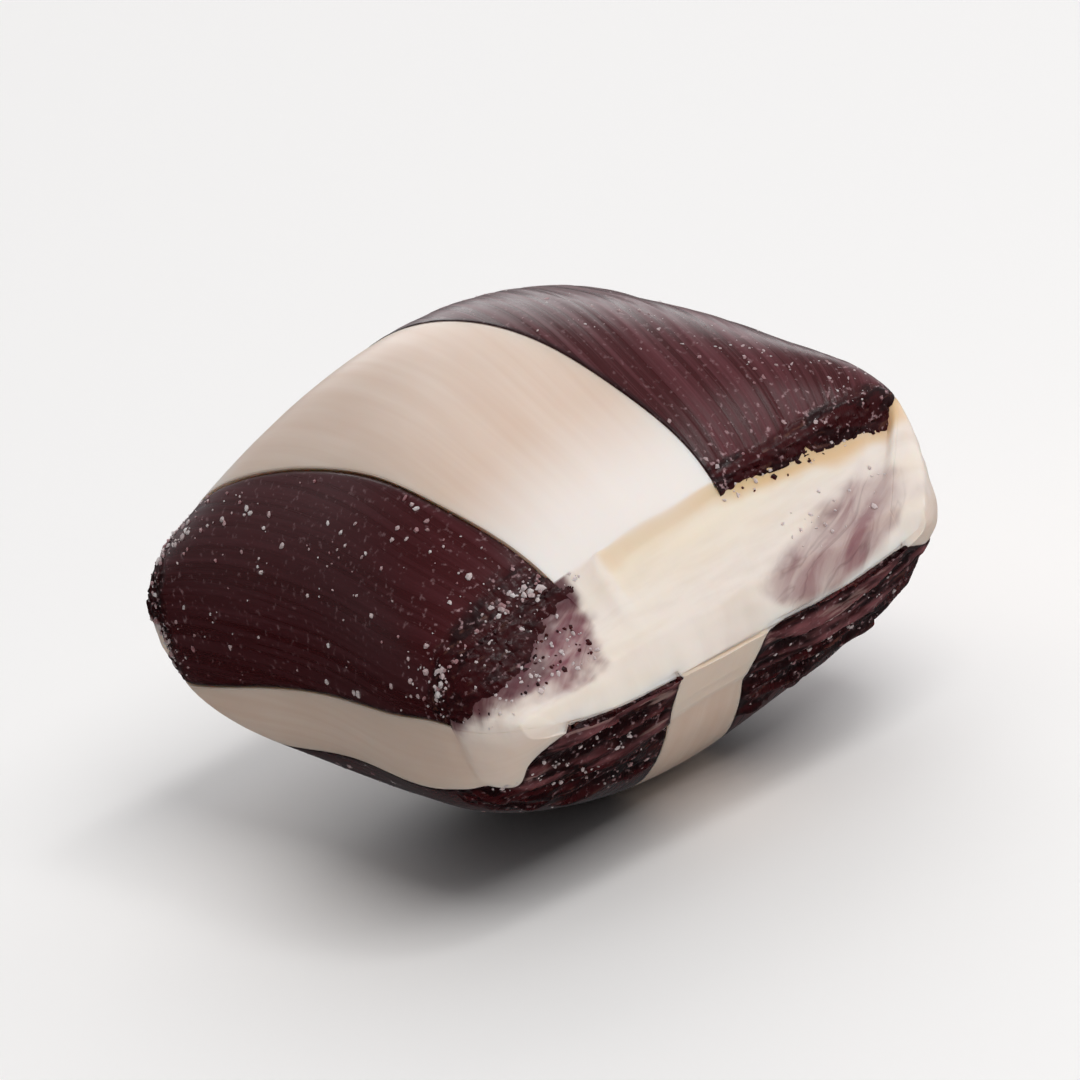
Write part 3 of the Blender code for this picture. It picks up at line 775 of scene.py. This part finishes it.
for index, (name, whole, proud, rib_height, cracks_reach, first_edge, last_edge) in enumerate(STRIPES):
    number = 2 * index
    share = middle_turn(number + 1) - middle_turn(number)
    width = share * rope.girth_at(CREASE_X)
    way = spaced(width, 0.065, EDGE_WAYS)
    row_station = rows_along(170, 0.38, 41 if whole else 0, 0)
    column_wall = np.pad(np.zeros_like(way), SIDE_COLUMNS, "linear_ramp", end_values=1.0)
    row_wall = np.pad(np.zeros_like(row_station), END_ROWS, "linear_ramp", end_values=1.0)
    way = np.pad(way, SIDE_COLUMNS, "edge")
    row_station = np.pad(row_station, END_ROWS, "edge")
    faces, row, column, is_inner = lid_grid(len(row_station), len(way), END_ROWS, SIDE_COLUMNS)
    station, way = row_station[row], way[column]
    end_share = np.where(is_inner, 0.0, row_wall[row])
    sides = np.where(is_inner, 1.0, column_wall[column])
    wall = np.maximum(end_share, sides)
    on_end = end_share > 0.0

    # A torn end drops straight down on to the lip. A lower stripe's end wraps round the tip.
    near_turn = border(number, CREASE_X * np.sign(station), station) + way * share
    tear = torn_depth(np.ones(1), near_turn)
    overhang = tear / (2.6 + 1.6 * tear)
    to_corner = np.minimum(way, 1.0 - way) * width
    wrapped = WRAP - (WRAP - CORNER_WRAP) * (1.0 - smooth(to_corner / 0.55))
    station = station + np.sign(station) * end_share * (wrapped if whole else overhang)
    lip, nose = lip_at(station), nose_at(station)
    inset = SEAM / 2.0 + 0.03 * (wall > 0.0) + WALL_DRAFT * wall * (1.0 - on_end)
    inset = inset + 0.22 * end_share**2 * whole
    x, turn, to_first, to_last = between_borders(number, way, station, inset)
    flat = rope_places(x, turn)
    to_end = np.where(whole, 9.0, np.maximum(1.0 - np.abs(station), 0.0) * CREASE_X)
    short = (
        np.clip(1.0 - to_first / first_edge, 0.0, 1.0) ** 2
        + np.clip(1.0 - to_last / last_edge, 0.0, 1.0) ** 2
    )
    edge = np.where(to_first < to_last, first_edge, last_edge)
    drop = edge * (1.0 - np.sqrt(np.clip(1.0 - short, 0.0, 1.0)))
    drop = np.maximum(drop, rounded(to_end, TORN_END_EDGE))
    thickness = skin(station)
    drop = np.minimum(drop, 0.8 * thickness)
    raw = place(station, x, turn, drop)
    ribs = rib_height * soft_noise(flat, (9.0, 0.26, 0.26), 40 + number)
    ribs = ribs + 0.8 * rib_height * soft_noise(flat, (4.0, 0.6, 0.6), 45 + number)
    handling = 0.005 * soft_noise(raw, (0.9, 0.9, 0.9), 50 + number)
    crack_edge = 0.35 * soft_noise(raw, (0.8, 0.8, 0.8), 55 + number) * cracks_reach
    if whole:
        past_crease = np.where(lip > 0.0, LIP_LENGTH * lip, (np.abs(station) - 1.0) * CREASE_X)
        cracked = smooth((past_crease + 2.4 + 5.0 * crack_edge) / 1.2)
    else:
        cracked = smooth((cracks_reach + crack_edge - to_end) / (0.4 * cracks_reach))
    torn_face = on_end & (wall <= end_share)
    shards = facet_noise(raw, (0.20, 0.30, 0.20), 60 + number)
    slabs = facet_noise(raw, (0.6, 1.6, 0.6) if whole else (0.34, 1.1, 0.34), 70 + number)
    if whole:
        splinters = soft_noise(raw, (0.13, 1.4, 0.13), 75 + number)
        ridges = soft_noise(raw, (0.55, 2.2, 0.55), 80 + number)
        crackle = 0.010 * shards + 0.07 * slabs + 0.02 * splinters + 0.28 * ridges
    else:
        ridges = np.zeros(len(station))
        crackle = 0.030 * shards + 0.03 * slabs
    valleys = smooth((-ridges - 0.02) / 0.22) * cracked
    # painted shade over the cracked zones: most on the upper left stripe, which faces the darker side
    # of the studio, least on the lower ones
    painted_crack_shade = 0.10 if whole else 0.15 if name.endswith("right") else 0.35
    to_side = np.minimum(to_first, to_last)
    calm = smooth(to_side / 0.6) if whole else np.ones(len(station))
    relief = (1.0 - cracked) * ribs + handling + cracked * crackle * (0.3 + 0.7 * calm)
    top = drop - proud * (1.0 - smooth(lip / 0.2)) - relief
    rim = RIM_THICKNESS - 0.04
    foot = rim * (1.0 - nose) if whole else torn_depth(station, turn) + 0.06
    under = thickness + (rim - thickness) * smooth((lip - 0.7) / 0.3) * whole
    bottom = np.where(on_end, foot, under)
    depth = top + (bottom - top) * np.where(whole & on_end, sides, wall)
    places = place(station, x, turn, depth)
    chips = facet_noise(places, (0.20, 0.28, 0.20), 90 + number)
    pits = soft_noise(places, (0.10, 0.22, 0.10), 95 + number)
    swelling = np.sin(math.pi * end_share) ** 0.5
    out = torn_face * swelling * (0.05 * chips + 0.04 * pits) * calm
    tucked = 0.12 * np.maximum(smooth((end_share - 0.7) / 0.3), sides * on_end) if whole else 0.0
    places[..., 0] += np.sign(station) * (out + 0.03 * torn_face - tucked)

    # Painted shade: a black line along each side of a stripe, where the white's edge shades it, and
    # darker valleys, cracked zones and torn faces.
    side_shade = 0.8 * smooth(1.0 - (to_side - 0.06) / 0.16)
    crack_shade = np.clip(0.8 * valleys + painted_crack_shade * cracked + 0.25 * torn_face, 0.0, 0.95)
    fields = {
        "rope": flat,
        "ribbed": np.clip(1.0 - cracked, 0.0, 1.0) * (0.35 if name.endswith("left") else 1.0),
        "cracked": np.clip(cracked + torn_face, 0.0, 1.0),
        # crests of the crushed ridges: rougher, with painted light and painted glints on them
        "crushed": smooth(lip / 0.2) * smooth(0.6 + 2.0 * ridges) * whole * (nose == 0.0),
        "shade": np.maximum(side_shade, crack_shade),
        "dust": np.clip(0.3 + 0.7 * smooth(1.0 - to_end / 2.5) + 0.3 * cracked * whole, 0.0, 1.0),
    }
    piece_name = name.replace("stripe", "sugar_stripe")
    stripe = new_piece(piece_name, places, faces, dark_sugar, 40.0, fields)
    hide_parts(name)

# ------------------------ smeared dark sugar film
# The upper left stripe's torn ends were smeared on over the lips in a thin lumpy film, and a
# pointed flake of it reaches along the crease. It ends where its depth goes under the white.
FILM_THICKNESS = 0.07
FILM_ROWS = 58
FILM_COLUMNS = 132
film_faces, row, column, is_inner = lid_grid(FILM_ROWS, FILM_COLUMNS, 0, 0)
lip = np.linspace(-0.02, 0.8, FILM_ROWS)[row]
turn = np.linspace(film_at[0], film_at[-1], FILM_COLUMNS)[column]
station = np.array(((1.0,), (-1.0,))) * (1.0 + lip)
x = along_rope(station, turn)
under = torn_depth(station, turn)
raw = place(station, x, turn, under)
stray = 0.12 * soft_noise(raw, (0.45, 0.6, 0.45), 100) + 0.05 * soft_noise(raw, (0.2, 0.3, 0.2), 101)
stray = stray * smooth((turn - 0.352) / 0.03)
flake_from = np.interp(turn, (0.340, 0.346, 0.362), (0.17, 0.13, -0.1))
there = smooth((np.interp(turn, film_at, film_reach) + stray - lip) / 0.16 + 0.5)
there = there * smooth((lip - flake_from) / 0.06)
lumps = 0.045 * facet_noise(raw, (0.30, 0.42, 0.30), 102)
lumps = lumps + 0.02 * facet_noise(raw, (0.15, 0.2, 0.15), 103)
depth = under + 0.05 - (FILM_THICKNESS + 0.05 + lumps) * there + 0.15 * is_inner
places = place(station, x, turn, depth)
faces = film_faces + [[corner + len(lip) for corner in face] for face in film_faces]
ones = np.ones(station.shape)
fields = {"rope": places, "cracked": 0.7 * ones, "dust": 0.6 * ones, "shade": 0.45 * ones}
film = new_piece("dark_sugar_film", places, faces, dark_sugar, 35.0, fields)

# ------------------------ loose sugar crystals
# Sugar that the sweets were tumbled in, and chips from their rubbing together, sticks to
# them as clear and white grains. They show on the dark stripes, most near the creases. Some
# are placed as painted highlights, at the left stripe's torn end and along the right stripe's brow.

GRAIN_WHITE = "efe6e4"
GRAIN_PINK = "a9787c"
GRAIN_POINTS = 12  # corners of a grain
STRIPE_GRAINS = 1500  # places tried on each stripe, of which a share is kept
CREASE_GRAINS = 140  # and more of them where a stripe was torn off
TABLE_CLEARANCE = 0.2  # no grain sits lower than this

# A grain is crystal sugar: clear inside, with a frosted skin, so it looks pinkish white.
crystal_sugar = new_material("crystal_sugar_frosted")
where = add(crystal_sugar, "TexCoord").outputs["Object"]
frost = soft_spots(crystal_sugar, where, (7000, 7000, 7000), 2.0)
frost_gloss = add(crystal_sugar, "MapRange", {0: frost, 3: 0.15, 4: 0.5})
finish(
    crystal_sugar,
    {
        "Base Color": tinted(crystal_sugar, linear(GRAIN_WHITE), GRAIN_PINK, "clearness"),
        "Roughness": frost_gloss.outputs[0],
        "IOR": 1.54,
        "Subsurface Weight": 0.5,
        "Subsurface Radius": (1.0, 0.9, 0.85),
        "Subsurface Scale": 0.0001,
        "Transmission Weight": 0.25,
    },
)


def surface_at(station, turn, depth):
    """Places on the sweet and the outward directions there."""
    x = along_rope(station, turn)
    here = place(station, x, turn, depth)
    along = place(station + 0.01, along_rope(station + 0.01, turn), turn, depth) - here
    around = place(station, x, turn + 0.001, depth) - here
    outward = np.cross(around, along)
    return here, outward / np.linalg.norm(outward, axis=-1, keepdims=True)


def grains(draw, places, outward, sizes, flatness, sunk):
    """Irregular faceted grains as one mesh: vertices and faces."""
    data = bmesh.new()
    bmesh.ops.create_icosphere(data, subdivisions=1, radius=0.5)
    base = np.array([v.co for v in data.verts])
    base_faces = np.array([[v.index for v in f.verts] for f in data.faces])
    data.free()
    count = len(places)
    shape = base[None] * draw.uniform(0.65, 1.25, (count, len(base), 1))
    shape = shape * (np.array((1.0, 1.0, flatness)) * draw.uniform(0.6, 1.3, (count, 1, 3)))
    tangent = np.cross(outward, draw.normal(size=(count, 3)))
    tangent = tangent / np.linalg.norm(tangent, axis=1, keepdims=True)
    frames = np.stack((tangent, np.cross(outward, tangent), outward), axis=1)
    vertices = np.einsum("nvk,nkj->nvj", shape * sizes[:, None, None], frames)
    vertices = vertices + (places - outward * (sizes * sunk)[:, None])[:, None, :]
    offsets = np.arange(count)[:, None, None] * len(base)
    return vertices.reshape(-1, 3), (base_faces[None] + offsets).reshape(-1, 3).tolist()


draw = np.random.default_rng(41)
grain_spots = []  # station, turn and scale
for index, (name, whole, *_) in enumerate(STRIPES):
    here = draw.uniform(-1.0, 1.0, STRIPE_GRAINS)
    near_crease = 0 if whole else CREASE_GRAINS
    by_crease = draw.uniform(0.94, 1.0, near_crease) * draw.choice((-1.0, 1.0), near_crease)
    here = np.concatenate((here, by_crease))
    low, high = (border(2 * index + step, here * CREASE_X, here) for step in (0, 1))
    turns = low + (high - low) * draw.uniform(0.03, 0.97, len(here))
    clusters = soft_noise(rope_places(here * CREASE_X, turns), (2.6, 2.6, 2.6), 200)
    share = (0.05 + 0.35 * np.abs(here) ** 8) * np.clip(1.0 + 2.2 * clusters, 0.1, 2.5)
    share = share * (1.5 if name.endswith("top_left") else 1.0)
    keep = draw.uniform(0.0, 1.0, len(here)) < share
    grain_spots.append((here[keep], turns[keep], np.ones(keep.sum())))
# More lie along the torn end of the left stripe: partly real grains and partly painted
# highlights, and the nine large ones there stand in for the glint of a glassy facet at the
# crease. Fine ones lie on the right stripe's far side, along its brow as the camera sees it:
# partly sugar dust, partly a painted broken highlight along that brow.
brow_at = (0.3, 0.4, 0.5, 0.7, 0.8, 0.9)
brow_turn = (0.229, 0.193, 0.178, 0.168, 0.145, 0.125)
for low, high, near, far, count, scale in (
    (0.386, 0.505, 0.950, 1.0, 80, 1.25),
    (0.386, 0.402, 0.985, 1.0, 9, 1.7),
    (-0.028, 0.018, 0.20, 0.96, 760, 0.85),
):
    here = draw.uniform(near, far, count) * draw.choice((-1.0, 1.0), count)
    brow = np.interp(np.abs(here), brow_at, brow_turn)
    turns = draw.uniform(low, high, count) - TWIST * here * CREASE_X + brow * (low < 0.0)
    grain_spots.append((here, turns, np.full(count, scale)))
grain_station, grain_turn, grain_scale = (np.concatenate(values) for values in zip(*grain_spots))
grain_places, grain_outward = surface_at(grain_station, grain_turn, 0.0)
sizes = grain_scale * (0.06 + 0.18 * draw.uniform(0.0, 1.0, len(grain_station)) ** 2.2)
clear_of_table = grain_places[:, 2] > TABLE_CLEARANCE
grain_places, grain_outward, sizes = (
    values[clear_of_table] for values in (grain_places, grain_outward, sizes)
)
vertices, faces = grains(draw, grain_places, grain_outward, sizes, 0.7, 0.1)
clearness = np.repeat(draw.uniform(0.0, 1.0, len(sizes)) ** 0.9, GRAIN_POINTS)
crystals = new_piece("sugar_crystals_and_painted_highlights", vertices, faces, crystal_sugar, 1.0, {"clearness": clearness})

# ------------------------ crumbs at the tears
# The blades threw crumbs off the stripes as they tore them. Flat dark flakes and a few white
# crumbs stuck to the lips, most of them at the foot of the torn edges.

# A flake is the same glassy dark sugar as the stripes, cracked all over.
dark_spots = []
white_spots = []
for side in (-1.0, 1.0):
    for low, high, near, far, count, kinds in (
        (0.372, 0.484, 0.12, 0.8, 64, dark_spots),
        (0.07, 0.215, 0.12, 0.20, 14, dark_spots),
        (0.37, 0.49, 0.0, 0.85, 130, white_spots),
        (0.06, 0.17, 0.45, 0.98, 26, white_spots),
        (0.338, 0.356, 0.0, 0.12, 12, white_spots),
        (0.07, 0.215, 0.06, 0.18, 26, white_spots),
        (0.557, 0.585, 0.0, 0.6, 22, white_spots),
        (0.58, 0.66, 0.0, 0.9, 30, white_spots),
        (0.79, 0.94, 0.0, 0.9, 36, white_spots),
    ):
        turns = draw.uniform(low, high, count)
        lips = near + (far - near) * draw.uniform(0.0, 1.0, count) ** 1.4
        kinds.append(np.stack((side * (1.0 + lips), turns), axis=1))
for name, kinds, small, large, flatness, material in (
    ("dark_sugar_flakes", dark_spots, 0.08, 0.22, 0.45, dark_sugar),
    ("white_sugar_crumbs", white_spots, 0.06, 0.20, 0.7, crystal_sugar),
):
    crumb_station, crumb_turn = np.concatenate(kinds).T
    sunk = torn_depth(crumb_station, crumb_turn) * (crumb_turn < 0.53)
    crumb_places, crumb_outward = surface_at(crumb_station, crumb_turn, sunk)
    sizes = small + (large - small) * draw.uniform(0.0, 1.0, len(crumb_turn)) ** 1.6
    vertices, faces = grains(draw, crumb_places, crumb_outward, sizes, flatness, 0.0)
    ones = np.ones(len(vertices))
    fields = {"cracked": ones, "clearness": 0.3 * ones, "rope": vertices}
    crumbs = new_piece(name, vertices, faces, material, 1.0, fields)

# ------------------------ floor, light and camera
# A plain pale table top in a white studio, which is brighter behind the sweet than at its
# left, with a soft lamp over the near end of the sweet.

FLOOR_WHITE = "f6f4f2"

floor_paint = new_material("floor_matt_white")
where = add(floor_paint, "TexCoord").outputs["Object"]
tooth = soft_spots(floor_paint, where, (900, 900, 900), 2.0)
tooth_bump = add(floor_paint, "Bump", {"Strength": 0.05, "Distance": 0.0001, "Height": tooth})
paint = {"Base Color": linear(FLOOR_WHITE), "Roughness": 0.7, "Normal": tooth_bump.outputs[0]}
finish(floor_paint, paint)
bpy.ops.mesh.primitive_plane_add(size=3.0)
table = bpy.context.object
table.name = "table"
table.data.materials.append(floor_paint)
table.visible_glossy = False

studio = bpy.data.worlds.new("white_studio")
bpy.context.scene.world = studio
studio.use_nodes = True
sky = add(studio, "TexCoord").outputs["Generated"]
brighter = add(studio, "VectorMath", {0: sky, 1: (-0.35, 0.82, 0.45)}, operation="DOT_PRODUCT")
strength = add(studio, "MapRange", {0: brighter.outputs["Value"], 1: -0.2, 2: 0.9, 3: 0.10, 4: 0.75})
height = add(studio, "SeparateXYZ", {0: sky})
above = add(studio, "MapRange", {0: height.outputs["Z"], 1: -0.15, 2: 0.05, 3: 0.2, 4: 1.0})
lit = add(studio, "Math", {0: strength.outputs[0], 1: above.outputs[0]}, operation="MULTIPLY")
background = studio.node_tree.nodes["Background"]
background.inputs["Color"].default_value = linear("fbfcff")
studio.node_tree.links.new(lit.outputs[0], background.inputs["Strength"])


def soft_lamp(name, direction, distance, size, power, in_gloss):
    """A square area lamp that faces the sweet from this direction, shown in its gloss or not."""
    lamp = bpy.data.lights.new(name, "AREA")
    lamp.size = size
    lamp.energy = power
    holder = bpy.data.objects.new(name, lamp)
    away = Vector(direction).normalized()
    holder.location = away * distance
    holder.rotation_euler = away.to_track_quat("Z", "Y").to_euler()
    holder.visible_glossy = in_gloss
    bpy.context.scene.collection.objects.link(holder)


soft_lamp("key_lamp", (0.6, 0.1, 0.8), 0.6, 0.35, 2.0, False)
soft_lamp("glint_lamp", (0.45, 0.35, 0.82), 0.6, 0.08, 0.25, True)
soft_lamp("back_lamp", (-0.75, 0.5, 0.45), 0.7, 0.5, 1.4, True)

RIGHT = Vector((0.539, 0.794, -0.281))  # of the picture, which is rolled
TOWARD = Vector((0.826, -0.434, 0.359))  # from the sweet to the camera
CAMERA_DISTANCE = 0.9
FRAME_WIDTH = 0.0325  # what the frame spans at the sweet
camera_data = bpy.data.cameras.new("camera")
camera_data.sensor_width = 36.0
camera_data.lens = 36.0 * CAMERA_DISTANCE / FRAME_WIDTH
camera = bpy.data.objects.new("camera", camera_data)
middle = (Vector(cad_bounds[0]) + Vector(cad_bounds[1])) / 2.0
toward = TOWARD.normalized()
right = (RIGHT - toward * RIGHT.dot(toward)).normalized()
facing = Matrix((right, toward.cross(right), toward)).transposed()
camera.matrix_world = Matrix.Translation(middle + toward * CAMERA_DISTANCE) @ facing.to_4x4()
camera_data.clip_start = 0.05
bpy.context.scene.collection.objects.link(camera)
bpy.context.scene.camera = camera
bpy.context.scene.view_settings.view_transform = "Standard"
